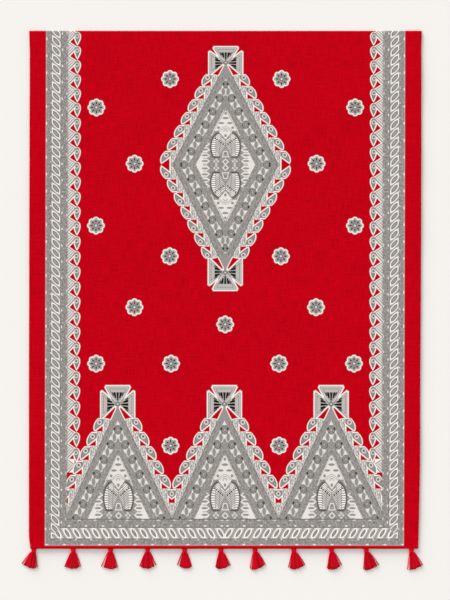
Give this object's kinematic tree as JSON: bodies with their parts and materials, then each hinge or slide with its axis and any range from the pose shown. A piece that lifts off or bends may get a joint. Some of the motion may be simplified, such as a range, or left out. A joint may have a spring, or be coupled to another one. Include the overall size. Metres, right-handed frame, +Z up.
{
  "type": "dupatta",
  "caption": "Printed cotton dupatta folded in half and laid flat, with patterned borders, a medallion, temple triangles and thread tassels along its end hem.",
  "frame": {"origin": "middle of the underside of the whole, on the surface that it lies on", "axes": "+Z up from the surface, +Y along the length from the tasselled hem to the fold, +X across to the right as seen from above"},
  "size_m": [0.9766, 1.3122, 0.0061],
  "materials": {
    "cotton": "plain-woven red cotton, printed in greys and off-white, matt",
    "tassel_thread": "soft red cotton thread, matt"
  },
  "bodies": {
    "root": {"cloth_upper": "cotton", "cloth_under": "cotton", "end_hem": "cotton", "tassel_01": "tassel_thread", "tassel_02": "tassel_thread", "tassel_03": "tassel_thread", "tassel_04": "tassel_thread", "tassel_05": "tassel_thread", "tassel_06": "tassel_thread", "tassel_07": "tassel_thread", "tassel_08": "tassel_thread", "tassel_09": "tassel_thread", "tassel_10": "tassel_thread", "tassel_11": "tassel_thread"}
  },
  "joints": []
}
